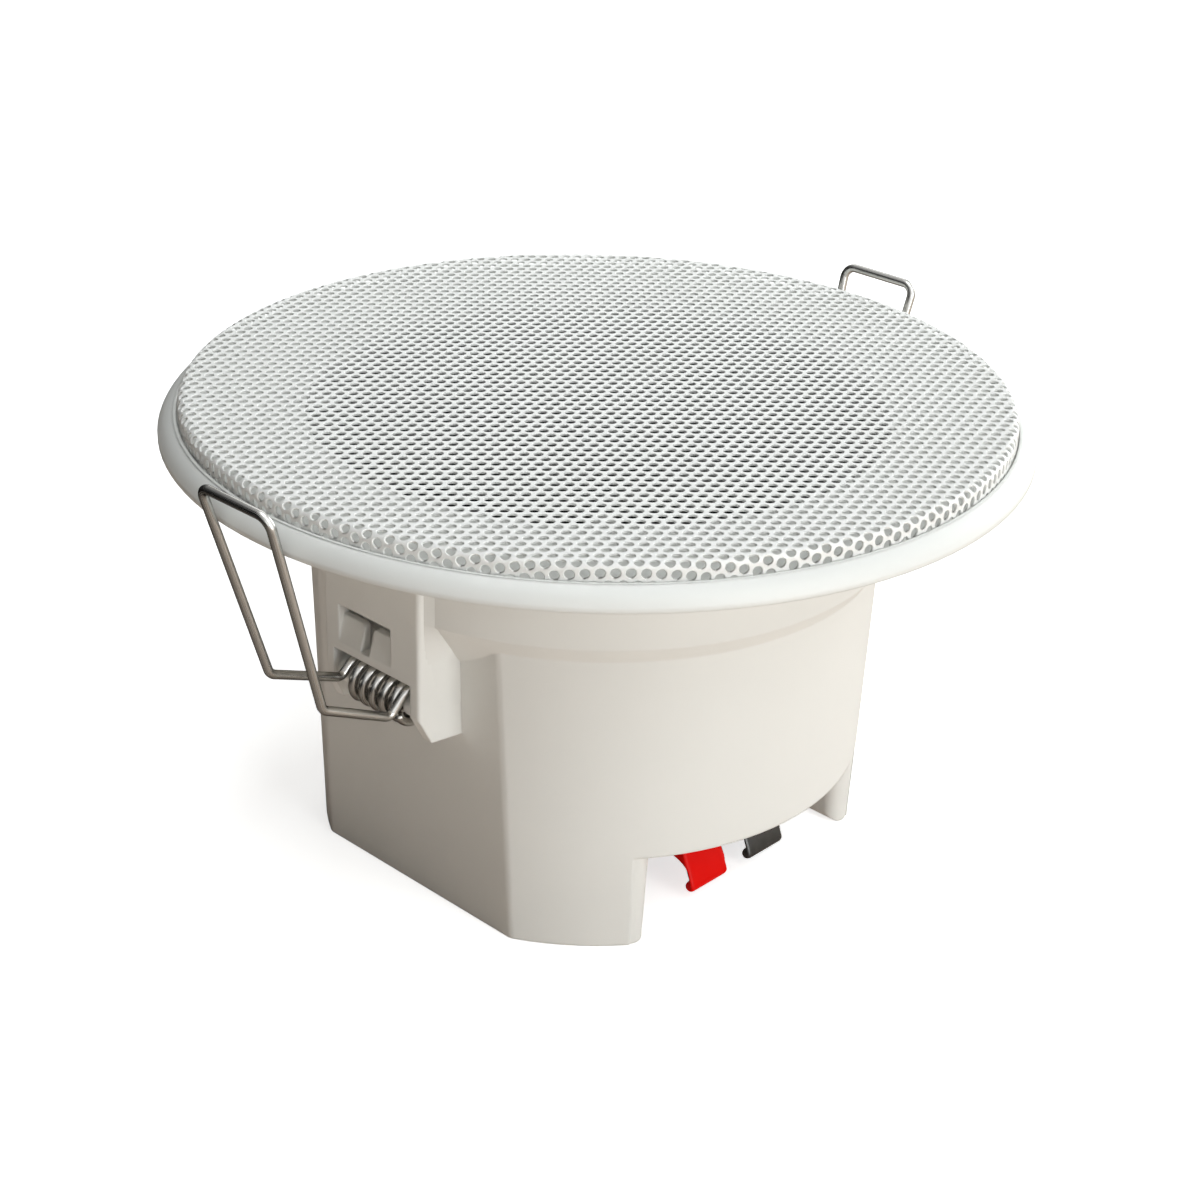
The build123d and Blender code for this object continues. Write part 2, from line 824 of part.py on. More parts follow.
# Terminal base: plate under the floor, with a body that holds the two levers in open bays
body_length = lever_pitch + bay_width + 2 * terminal_wall
with BuildPart() as terminal_base:
    with BuildSketch(Plane.XY.offset(terminal_plate_z)):
        with Locations((0, terminal_y - terminal_plate_outer)):
            Rectangle(
                terminal_plate_length,
                terminal_plate_outer + terminal_plate_inner,
                align=(Align.CENTER, Align.MIN),
            )
    extrude(amount=terminal_plate_thickness)
    with BuildSketch(Plane.XY.offset(terminal_plate_z)):
        with Locations((0, terminal_y - terminal_front)):
            Rectangle(body_length, terminal_front + terminal_back, align=(Align.CENTER, Align.MIN))
    extrude(amount=-terminal_body_height)
    with BuildSketch(Plane.XY.offset(terminal_plate_z)):
        with Locations((-lever_pitch / 2, bay_back), (lever_pitch / 2, bay_back)):
            Rectangle(bay_width, bay_back - terminal_y + 2 * terminal_front, align=(Align.CENTER, Align.MAX))
    extrude(amount=-terminal_body_height, mode=Mode.SUBTRACT)
    for side in (-1, 1):
        with BuildSketch(Plane.YZ.offset(side * lever_pitch / 2)):
            with Locations((terminal_y, lever_pivot_z)):
                Circle(lever_stub_radius + stub_clearance)
        extrude(amount=stub_hole_length / 2, both=True, mode=Mode.SUBTRACT)
    with BuildSketch(Plane.XY.offset(terminal_plate_z)):
        with Locations((-lever_pitch / 2, bay_back), (lever_pitch / 2, bay_back)):
            Rectangle(
                contact_width + 2 * contact_slot_gap,
                contact_sheet + contact_slot_gap,
                align=(Align.CENTER, Align.MAX),
            )
        with Locations((-terminal_screw_pitch / 2, terminal_y), (terminal_screw_pitch / 2, terminal_y)):
            Circle(screw_radius + screw_hole_gap)
    extrude(amount=terminal_plate_thickness, mode=Mode.SUBTRACT)

terminal_base.part.label = "terminal_base"
export_step(terminal_base.part, "parts/terminal_base.step")


# Press lever: arm on two stubs, with a tab that hooks down to a beaded tip
tip_y = terminal_y - lever_reach
tip_z = lever_pivot_z - lever_drop
with BuildPart() as lever:
    with BuildSketch(Plane.YZ):
        with BuildLine():
            Polyline(
                (tip_y + lever_tip, lever_pivot_z - lever_hook_drop),
                (tip_y + lever_tip, tip_z),
                (tip_y, tip_z),
                (terminal_y - lever_top_reach, lever_pivot_z + lever_top_rise),
                (terminal_y, lever_pivot_z + lever_back_rise),
                (terminal_y, lever_pivot_z - lever_back_rise),
                (terminal_y - lever_arm_reach, lever_pivot_z - lever_arm_drop),
            )
            ThreePointArc(
                (terminal_y - lever_arm_reach, lever_pivot_z - lever_arm_drop),
                (terminal_y - lever_arc_reach, lever_pivot_z - lever_arc_drop),
                (tip_y + lever_tip, lever_pivot_z - lever_hook_drop),
            )
        make_face()
        with Locations((terminal_y, lever_pivot_z)):
            Circle(lever_back_rise)
        with Locations((tip_y + lever_tip - lever_bead_radius / 4, tip_z)):
            Circle(lever_bead_radius)
    extrude(amount=lever_width / 2, both=True)
    with BuildSketch(Plane.YZ):
        with Locations((terminal_y, lever_pivot_z)):
            Circle(lever_stub_radius)
    extrude(amount=lever_width / 2 + lever_stub_length, both=True)

with BuildPart() as red_lever:
    with Locations((-lever_pitch / 2, 0, 0)):
        add(lever.part)

red_lever.part.label = "red_lever"
export_step(red_lever.part, "parts/red_lever.step")

with BuildPart() as black_lever:
    with Locations((lever_pitch / 2, 0, 0)):
        add(lever.part)

black_lever.part.label = "black_lever"
export_step(black_lever.part, "parts/black_lever.step")


# Contact strip: lies on the back wall of its bay, with a foot under the lever and a tag above the floor
contact_low = terminal_low + contact_foot
with BuildPart() as contact:
    with BuildSketch(Plane.YZ):
        with BuildLine():
            Polyline(
                (bay_back, floor_top + contact_tail),
                (bay_back, contact_low),
                (bay_back - contact_tongue, contact_low),
                (bay_back - contact_tongue, contact_low + contact_sheet),
                (bay_back - contact_sheet, contact_low + contact_sheet),
                (bay_back - contact_sheet, floor_top + contact_tail),
                close=True,
            )
        make_face()
    extrude(amount=contact_width / 2, both=True)

with BuildPart() as red_contact:
    with Locations((-lever_pitch / 2, 0, 0)):
        add(contact.part)

red_contact.part.label = "red_contact"
export_step(red_contact.part, "parts/red_contact.step")

with BuildPart() as black_contact:
    with Locations((lever_pitch / 2, 0, 0)):
        add(contact.part)

black_contact.part.label = "black_contact"
export_step(black_contact.part, "parts/black_contact.step")


# Screws that hold the terminal to the floor
with BuildPart() as terminal_screws:
    with BuildSketch(Plane.XY.offset(terminal_plate_z)):
        with GridLocations(terminal_screw_pitch, 0, 2, 1):
            with Locations((0, terminal_y)):
                Circle(screw_head_radius)
    extrude(amount=-screw_head_height)
    with BuildSketch(Plane.XY.offset(terminal_plate_z)):
        with GridLocations(terminal_screw_pitch, 0, 2, 1):
            with Locations((0, terminal_y)):
                Circle(screw_radius)
    extrude(amount=screw_length)

terminal_screws.part.label = "terminal_screws"
export_step(terminal_screws.part, "parts/terminal_screws.step")


# Spring clip on the -X side: a ribbed coil on the studs, and one bent wire with an end bar
bend_x = -pivot_x - arm_reach
bend_z = coil_height + arm_bend_rise
end_x = -flange_radius - clip_overhang
coil_half = coil_turns * coil_pitch / 2
with BuildPart() as clip:
    with BuildLine() as clip_wire:
        FilletPolyline(
            (-pivot_x - coil_radius, arm_start_half, coil_height + front_arm_rise),
            (bend_x, arm_bend_half, bend_z),
            (end_x, arm_end_half, clip_end_height),
            (end_x, -arm_end_half, clip_end_height),
            (bend_x, -arm_bend_half, bend_z - back_bend_drop),
            (
                -pivot_x - coil_radius * sin(radians(arm_angle)),
                -back_arm_half,
                coil_height - coil_radius * cos(radians(arm_angle)),
            ),
            radius=clip_bend_radius,
        )
    with BuildSketch(Plane(origin=clip_wire.line @ 0, z_dir=clip_wire.line % 0)):
        Circle(wire_radius)
    sweep(path=clip_wire.line)
    with BuildSketch(Plane.XY.offset(coil_height)):
        with BuildLine():
            ridges = [(-pivot_x - coil_inner, -coil_half), (-pivot_x - coil_radius, -coil_half)]
            for turn in range(coil_turns):
                middle = (turn + 0.5) * coil_pitch - coil_half
                ridges += [(-pivot_x - coil_outer, middle - ridge_flat / 2)]
                ridges += [(-pivot_x - coil_outer, middle + ridge_flat / 2)]
                ridges += [(-pivot_x - coil_radius, middle + coil_pitch / 2)]
            ridges += [(-pivot_x - coil_inner, coil_half)]
            Polyline(*ridges, close=True)
        make_face()
    revolve(axis=Axis((-pivot_x, 0, coil_height), (0, 1, 0)))

with BuildPart() as left_clip:
    add(clip.part)

left_clip.part.label = "left_clip"
export_step(left_clip.part, "parts/left_clip.step")

with BuildPart() as right_clip:
    with Locations(Rotation(0, 0, 180)):
        add(clip.part)

right_clip.part.label = "right_clip"
export_step(right_clip.part, "parts/right_clip.step")
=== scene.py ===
import bpy
import json
import math
import numpy as np
from mathutils import Matrix, Vector


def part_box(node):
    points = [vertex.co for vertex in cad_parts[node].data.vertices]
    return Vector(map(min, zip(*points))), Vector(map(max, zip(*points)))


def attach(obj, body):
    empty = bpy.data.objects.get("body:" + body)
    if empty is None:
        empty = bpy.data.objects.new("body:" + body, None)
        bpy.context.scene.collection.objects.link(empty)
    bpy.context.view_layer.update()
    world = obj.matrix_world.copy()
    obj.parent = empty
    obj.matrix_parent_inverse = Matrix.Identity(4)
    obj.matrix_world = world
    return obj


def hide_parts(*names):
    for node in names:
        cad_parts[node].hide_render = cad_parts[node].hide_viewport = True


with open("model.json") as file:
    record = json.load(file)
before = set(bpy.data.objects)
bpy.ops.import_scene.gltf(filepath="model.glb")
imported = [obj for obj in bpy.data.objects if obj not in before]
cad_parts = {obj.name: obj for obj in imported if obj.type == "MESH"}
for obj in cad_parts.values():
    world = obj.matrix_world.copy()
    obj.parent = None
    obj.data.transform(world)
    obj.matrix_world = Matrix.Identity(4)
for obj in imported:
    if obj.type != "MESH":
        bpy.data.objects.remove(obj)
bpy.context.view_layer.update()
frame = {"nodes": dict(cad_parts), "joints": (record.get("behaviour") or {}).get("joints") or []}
nodes = frame["nodes"]
mm = 0.001
print("frame loaded,", len(nodes), "nodes")


def hexLinear(text):  # sRGB hex to a linear RGBA colour
    srgb = np.array([int(text[i:i + 2], 16) for i in (1, 3, 5)]) / 255
    linear = np.where(srgb <= 0.04045, srgb / 12.92, ((srgb + 0.055) / 1.055) ** 2.4)
    return (*linear.tolist(), 1.0)


def addNode(tree, kind, settings=None, values=None, links=None):  # one node, set and linked
    node = tree.nodes.new(kind)
    for name, value in (settings or {}).items():
        setattr(node, name, value)
    for name, value in (values or {}).items():
        node.inputs[name].default_value = value
    for name, socket in (links or {}).items():
        tree.links.new(socket, node.inputs[name])
    return node


def newMaterial(name):
    material = bpy.data.materials.new(name)
    material.use_nodes = True
    tree = material.node_tree
    return material, tree, tree.nodes["Principled BSDF"]


def makePiece(name, points, faces, material, body, uv=None):
    # Points in mm and a list of face arrays become a smooth mesh that rides on a body
    mesh = bpy.data.meshes.new(name)
    mesh.from_pydata((points * mm).tolist(), [], [face for part in faces for face in part.tolist()])
    mesh.polygons.foreach_set("use_smooth", np.ones(len(mesh.polygons), bool))
    mesh.materials.append(material)
    if uv is not None:
        layer = mesh.uv_layers.new(name="along")
        layer.data.foreach_set("uv", uv.ravel())
    mesh.update()
    piece = bpy.data.objects.new(name, mesh)
    bpy.context.scene.collection.objects.link(piece)
    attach(piece, body)
    return piece


def gridFaces(rows, columns, closeColumns=False):  # quads of a grid of two parameters
    strips = columns if closeColumns else columns - 1
    r0, c0 = np.meshgrid(np.arange(rows - 1), np.arange(strips), indexing="ij")
    c1 = (c0 + 1) % columns
    corners = [r0 * columns + c0, r0 * columns + c1, (r0 + 1) * columns + c1, (r0 + 1) * columns + c0]
    return np.stack(corners, -1).reshape(-1, 4)


def unit(v):
    return v / np.linalg.norm(v, axis=-1, keepdims=True)


# Materials

def mouldedAbs(name, edge):
    # Injection moulded ABS, off white: satin, with a fine spark-eroded grain that breaks up the gloss
    material, tree, shader = newMaterial(name)
    place = addNode(tree, "ShaderNodeTexCoord")
    grain = addNode(tree, "ShaderNodeTexNoise", values={"Scale": 1 / (0.5 * mm), "Detail": 3.0},
                    links={"Vector": place.outputs["Object"]})  # 0.5 mm, coarsened so that it shows
    flow = addNode(tree, "ShaderNodeTexNoise", values={"Scale": 1 / (28 * mm), "Detail": 2.0},
                   links={"Vector": place.outputs["Object"]})  # slow flow marks of the melt, about 28 mm
    tint = addNode(tree, "ShaderNodeMix", {"data_type": "RGBA"},
                   {"A": hexLinear("#E7E8E5"), "B": hexLinear("#ECEDEA")}, {"Factor": flow.outputs["Fac"]})
    rough = addNode(tree, "ShaderNodeMapRange", values={"To Min": 0.42, "To Max": 0.58},
                    links={"Value": grain.outputs["Fac"]})
    bump = addNode(tree, "ShaderNodeBump", values={"Strength": 0.05, "Distance": 0.02 * mm},
                   links={"Height": grain.outputs["Fac"]})
    if edge:  # broken edges of the mould
        soft = addNode(tree, "ShaderNodeBevel", {"samples": 6}, {"Radius": edge * mm})
        tree.links.new(soft.outputs["Normal"], bump.inputs["Normal"])
    tree.links.new(tint.outputs["Result"], shader.inputs["Base Color"])
    tree.links.new(rough.outputs["Result"], shader.inputs["Roughness"])
    tree.links.new(bump.outputs["Normal"], shader.inputs["Normal"])
    shader.inputs["IOR"].default_value = 1.53
    return material


def powderCoat():
    # Powder coated steel sheet, white: satin with the orange peel of a thick coat
    material, tree, shader = newMaterial("powderCoatWhite")
    place = addNode(tree, "ShaderNodeTexCoord")
    peel = addNode(tree, "ShaderNodeTexNoise", values={"Scale": 1 / (0.8 * mm), "Detail": 2.0},
                   links={"Vector": place.outputs["Object"]})  # orange peel about 0.8 mm across
    cloud = addNode(tree, "ShaderNodeTexNoise", values={"Scale": 1 / (18 * mm), "Detail": 2.0},
                    links={"Vector": place.outputs["Object"]})  # uneven build of the coat, about 18 mm
    tint = addNode(tree, "ShaderNodeMix", {"data_type": "RGBA"},
                   {"A": hexLinear("#F0F0ED"), "B": hexLinear("#F5F5F3")}, {"Factor": cloud.outputs["Fac"]})
    rough = addNode(tree, "ShaderNodeMapRange", values={"To Min": 0.36, "To Max": 0.5},
                    links={"Value": peel.outputs["Fac"]})
    bump = addNode(tree, "ShaderNodeBump", values={"Strength": 0.1, "Distance": 0.03 * mm},
                   links={"Height": peel.outputs["Fac"]})
    tree.links.new(tint.outputs["Result"], shader.inputs["Base Color"])
    tree.links.new(rough.outputs["Result"], shader.inputs["Roughness"])
    tree.links.new(bump.outputs["Normal"], shader.inputs["Normal"])
    shader.inputs["IOR"].default_value = 1.5
    return material


def drawnSpringSteel():
    # Bright drawn spring wire: mirror-like along its length, with fine die lines and darker edges at a glance
    material, tree, shader = newMaterial("drawnSpringSteel")
    place = addNode(tree, "ShaderNodeTexCoord")
    stretch = addNode(tree, "ShaderNodeMapping", values={"Scale": (1 / 14, 1 / 0.12, 1.0)},
                      links={"Vector": place.outputs["UV"]})  # UV in mm: lines 14 mm long and 0.12 mm wide
    lines = addNode(tree, "ShaderNodeTexNoise", values={"Scale": 1.0, "Detail": 2.0},
                    links={"Vector": stretch.outputs["Vector"]})
    tint = addNode(tree, "ShaderNodeMix", {"data_type": "RGBA"},
                   {"A": hexLinear("#B8B7B4"), "B": hexLinear("#DAD9D5")}, {"Factor": lines.outputs["Fac"]})
    rough = addNode(tree, "ShaderNodeMapRange", values={"To Min": 0.16, "To Max": 0.34},
                    links={"Value": lines.outputs["Fac"]})
    bump = addNode(tree, "ShaderNodeBump", values={"Strength": 0.12, "Distance": 0.02 * mm},
                   links={"Height": lines.outputs["Fac"]})
    tree.links.new(tint.outputs["Result"], shader.inputs["Base Color"])
    tree.links.new(rough.outputs["Result"], shader.inputs["Roughness"])
    tree.links.new(bump.outputs["Normal"], shader.inputs["Normal"])
    shader.inputs["Metallic"].default_value = 1.0
    shader.inputs["Specular Tint"].default_value = hexLinear("#5A5752")
    return material


def grained(name, dark, light, rough, grainMm, metal=0.0, bumpStrength=0.1, ior=1.5, gloss=0.5):
    # A two tone base with a fine grain in colour, roughness and relief
    material, tree, shader = newMaterial(name)
    place = addNode(tree, "ShaderNodeTexCoord")
    grain = addNode(tree, "ShaderNodeTexNoise", values={"Scale": 1 / (grainMm * mm), "Detail": 3.0},
                    links={"Vector": place.outputs["Object"]})
    tint = addNode(tree, "ShaderNodeMix", {"data_type": "RGBA"},
                   {"A": hexLinear(dark), "B": hexLinear(light)}, {"Factor": grain.outputs["Fac"]})
    spread = addNode(tree, "ShaderNodeMapRange", values={"To Min": rough - 0.08, "To Max": rough + 0.08},
                     links={"Value": grain.outputs["Fac"]})
    bump = addNode(tree, "ShaderNodeBump", values={"Strength": bumpStrength, "Distance": 0.03 * mm},
                   links={"Height": grain.outputs["Fac"]})
    tree.links.new(tint.outputs["Result"], shader.inputs["Base Color"])
    tree.links.new(spread.outputs["Result"], shader.inputs["Roughness"])
    tree.links.new(bump.outputs["Normal"], shader.inputs["Normal"])
    shader.inputs["Metallic"].default_value = metal
    if not metal:
        shader.inputs["IOR"].default_value = ior
        shader.inputs["Specular IOR Level"].default_value = gloss
    return material


finish = {
    "housing": mouldedAbs("mouldedAbsWhite", 0.6),
    "root": mouldedAbs("mouldedAbsRoot", 0),
    "grille": powderCoat(),
    "spring": drawnSpringSteel(),
    "red": grained("glossRedPolypropylene", "#E60A04", "#EE0E08", 0.32, 3.0, bumpStrength=0.02, gloss=0.1),
    "black": grained("glossBlackPolypropylene", "#30302F", "#3E3E3C", 0.24, 1.6, bumpStrength=0.5),
    "darkPlastic": grained("mouldedBlackAbs", "#171717", "#222222", 0.5, 0.4),
    "paint": grained("blackPaintedSteel", "#141414", "#1D1D1D", 0.45, 0.5),
    "paper": grained("pressedPaper", "#121212", "#1E1E1D", 0.85, 0.4, bumpStrength=0.4),
    "rubber": grained("nitrileRubber", "#0F0F0F", "#181818", 0.6, 0.3),
    "foam": grained("closedCellFoam", "#161616", "#202020", 0.9, 0.3, bumpStrength=0.5),
    "cloth": grained("resinCloth", "#8F6A2E", "#B98D46", 0.8, 0.35, bumpStrength=0.5),
    "aluminium": grained("rolledAluminium", "#BDBDBE", "#CDCDCF", 0.35, 0.5, 1.0),
    "copper": grained("enamelledCopper", "#A5542A", "#C06A38", 0.3, 0.3, 1.0),
    "zinc": grained("zincPlatedSteel", "#9C9C9A", "#B4B4B0", 0.38, 0.6, 1.0),
    "ferrite": grained("sinteredFerrite", "#2A2A2C", "#38383A", 0.7, 0.5, bumpStrength=0.4),
    "fibre": grained("phenolicPaper", "#5A3A20", "#6C4828", 0.6, 0.4),
    "tin": grained("tinnedBrass", "#B8B2A2", "#CBC6B8", 0.35, 0.4, 1.0),
}
wears = {
    "housing": "housing", "grille": "grille", "basket": "paint", "gasket": "foam", "surround": "rubber",
    "cone": "paper", "dust_cap": "paper", "spider": "cloth", "voice_coil_former": "aluminium",
    "voice_coil": "copper", "top_plate": "zinc", "magnet": "ferrite", "yoke": "zinc", "tag_board": "fibre",
    "solder_tags": "tin", "driver_screws": "zinc", "terminal_base": "darkPlastic", "red_lever": "red",
    "black_lever": "black", "red_contact": "tin", "black_contact": "tin", "terminal_screws": "zinc",
    "left_clip": "spring", "right_clip": "spring",
}
for node, kind in wears.items():
    nodes[node].data.materials.clear()
    nodes[node].data.materials.append(finish[kind])
print("materials on", len(wears), "nodes")


# Press levers, with sizes from their pivot
lever = {"half": 4.7, "sideRound": 0.9, "faceRound": 0.36, "crown": 0.25, "ridge": 0.15, "hub": 2.4, "bead": 1.0,
         "beadTurn": (75, -202), "stub": 1.1, "stubEnd": 6.0, "stubSunk": 0.5, "frontTop": (-8.0, 1.2),
         "beadCentre": (-10.95, -8.4), "armEnd": (-5.5, -3.6), "hookPull": (-10.9, -4.2), "hookEnd": (-10.7, -7.2),
         "runSteps": 10, "beadSteps": 24, "hubSteps": 14, "endSteps": 7, "stubSides": 20}


def arcPoints(centre, radius, start, end, count):  # clockwise part of a circle, angles in degrees
    angle = np.radians(np.linspace(start, end, count))
    return np.asarray(centre) + radius * np.stack([np.cos(angle), np.sin(angle)], -1)


def pressLever(name, node, jointName, body, material):
    # A side outline carried across the lever: up the front, over the hub and back under the arm to the bead.
    # Towards both ends it shrinks along a quarter ellipse, and the front is crowned to a faint ridge.
    joint = next(j for j in frame["joints"] if j["name"] == jointName)
    pivot = np.array(joint["pos_m"]) / mm
    bead, top, pull = (np.array(lever[k]) for k in ("beadCentre", "frontTop", "hookPull"))
    arm, hook = np.array(lever["armEnd"]), np.array(lever["hookEnd"])
    share = np.linspace(0, 1, lever["runSteps"])[:, None]
    beadArc = arcPoints(bead, lever["bead"], *lever["beadTurn"], lever["beadSteps"])
    front = beadArc[-1] + (top - beadArc[-1]) * share
    under = arm * (1 - share) ** 2 + 2 * pull * share * (1 - share) + hook * share ** 2
    hub = arcPoints((0, 0), lever["hub"], 90, -90, lever["hubSteps"])
    outline = np.concatenate([front[1:], hub, under, beadArc])
    along = np.roll(outline, -1, axis=0) - np.roll(outline, 1, axis=0)
    outward = np.stack([-along[:, 1], along[:, 0]], -1) / np.linalg.norm(along, axis=-1, keepdims=True)
    bend = np.linspace(0, math.pi / 2, lever["endSteps"])
    right = lever["half"] - lever["sideRound"] * (1 - np.sin(bend))
    shrink = lever["faceRound"] * (1 - np.cos(bend))
    across = np.concatenate([-right[::-1], [-lever["ridge"], lever["ridge"]], right])
    shrink = np.concatenate([shrink[::-1], [0.0, 0.0], shrink])
    crown = np.zeros((len(across), len(outline)))
    crown[:, :len(front) - 2] = (lever["crown"] * (1 - np.abs(across) / lever["half"]))[:, None]
    flat = outline[None] + outward[None] * (crown - shrink[:, None])[..., None]
    x = np.broadcast_to(across[:, None, None], (*flat.shape[:2], 1))
    points = np.concatenate([x, flat], -1).reshape(-1, 3)
    rows, columns = flat.shape[:2]
    skin = gridFaces(rows, columns, closeColumns=True)
    ends = np.stack([np.arange(columns)[::-1], (rows - 1) * columns + np.arange(columns)])
    # Stubs that turn in the terminal's walls
    sides = lever["stubSides"]
    circle = arcPoints((0, 0), lever["stub"], 0, -360, sides + 1)[:-1]
    stubRoot = lever["half"] - lever["stubSunk"]
    pins = np.stack([np.concatenate([np.full((sides, 1), s), circle], -1) for s in
                     (-lever["stubEnd"], -stubRoot, stubRoot, lever["stubEnd"])])
    onePin = gridFaces(2, sides, closeColumns=True)
    pinFaces = np.concatenate([onePin, onePin + 2 * sides])
    pinEnds = np.stack([np.arange(sides)[::-1], sides + np.arange(sides), 2 * sides + np.arange(sides)[::-1],
                        3 * sides + np.arange(sides)])
    points = np.concatenate([points, pins.reshape(-1, 3)]) + pivot
    faces = [part[:, ::-1] for part in (skin, ends, pinFaces + rows * columns, pinEnds + rows * columns)]
    piece = makePiece(name, points, faces, material, body)
    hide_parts(node)
    return piece


pressLever("redLever", "red_lever", "red_lever_press", "red_press", finish["red"])
pressLever("blackLever", "black_lever", "black_lever_press", "black_press", finish["black"])
print("levers made")


# Roots of the clip brackets: the collar runs on round to the ears, and the ears spread where they meet it
cheek = {"collar": 52.3, "collarLow": 58.3, "wall": 50.24, "wallTop": 55.2, "flat": 48.7, "top": 72.0,
         "arc": (12.5, 21.5), "arcSteps": 10, "frontX": 51.6, "frontHalf": 11.6, "rootX": (44.4, 44.8, 50.2, 50.2),
         "rootHalf": (12.9, 13.2, 13.9, 13.9), "level": (40.0, 51.0, 58.4, 76.2), "sunk": 0.6,
         "lap": 0.1, "crease": 30, "levelSteps": 25}


def bracketRoots():
    # Two closed forms for one corner, then mirrored into all four. The collar is a profile (down the collar, in
    # along the cone and back inside) carried round the axis. The ear's side is a four-cornered section carried up.
    rise = (cheek["collarLow"] - cheek["wallTop"]) / (cheek["collar"] - cheek["wall"])
    turn = np.radians(np.linspace(*cheek["arc"], cheek["arcSteps"]))
    inner = cheek["flat"] / np.cos(turn) - cheek["lap"]
    deep = inner - cheek["sunk"]
    outer, low, top = (np.full_like(turn, cheek[k]) for k in ("collar", "collarLow", "top"))
    coneLow = low - (outer - inner) * rise
    r = np.stack([outer, outer, inner, deep, deep], -1)
    z = np.stack([top, low, coneLow, coneLow, top], -1)
    collar = np.stack([r * np.cos(turn)[:, None], r * np.sin(turn)[:, None], z], -1)
    given = np.array(cheek["level"])
    level = np.unique(np.concatenate([given, np.linspace(given[0], given[-1], cheek["levelSteps"])]))
    frontX, frontHalf = (np.full(len(level), cheek[k]) for k in ("frontX", "frontHalf"))
    rootX, rootHalf = (np.interp(level, given, cheek[k]) for k in ("rootX", "rootHalf"))
    x = np.stack([frontX, rootX, rootX, frontX], -1)
    y = np.stack([frontHalf, rootHalf, rootHalf - 2 * cheek["sunk"], frontHalf - cheek["sunk"]], -1)
    ear = np.stack([x, y, np.broadcast_to(level[:, None], x.shape)], -1)
    points, faces, caps, first = [], [], [], 0
    for grid in (collar, ear):
        rows, columns = grid.shape[:2]
        skin = gridFaces(rows, columns, closeColumns=True)
        ends = [np.arange(columns)[None, ::-1], (rows - 1) * columns + np.arange(columns)[None]]
        for flip in ([1, 1, 1], [-1, 1, 1], [1, -1, 1], [-1, -1, 1]):
            points.append(grid.reshape(-1, 3) * flip)
            step = np.prod(flip)
            faces.append((skin + first)[:, ::step])
            caps += [(end + first)[:, ::step] for end in ends]
            first += rows * columns
    points = np.concatenate(points)
    piece = makePiece("bracketRoots", points, faces + caps, finish["root"], "main")
    piece.data.set_sharp_from_angle(angle=math.radians(cheek["crease"]))
    return piece


bracketRoots()
print("bracket roots made")


# Perforated grille
grille = {"pitch": 2.26, "hole": 1.56, "round": 0.16, "sheet": 0.4, "corner": 1.3, "rowAngle": -43.5,
          "sides": 12, "splits": (43.0, 61.0), "hem": 0.3, "hemSteps": 240, "sliver": 1e-3, "weld": 3}
grilleLow, grilleHigh = (np.array(v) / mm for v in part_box("grille"))


def dishPoint(flat, depth):
    # A flat sheet drawn into a dish: distance s from the middle runs along the face, round the corner and down
    # the rim while the angle stays. Depth goes in from the show side.
    edge, top, corner = grilleHigh[0], grilleHigh[2], grille["corner"]
    s = np.hypot(flat[..., 0], flat[..., 1])
    turn = np.arctan2(flat[..., 1], flat[..., 0])
    bend = np.clip((s - (edge - corner)) / corner, 0, math.pi / 2)
    down = np.maximum(s - (edge - corner) - corner * math.pi / 2, 0)
    r = np.minimum(s, edge - corner) + (corner - depth) * np.sin(bend)
    z = top - corner + (corner - depth) * np.cos(bend) - down
    normal = np.stack([np.sin(bend) * np.cos(turn), np.sin(bend) * np.sin(turn), np.cos(bend)], -1)
    return np.stack([r * np.cos(turn), r * np.sin(turn), z], -1), normal


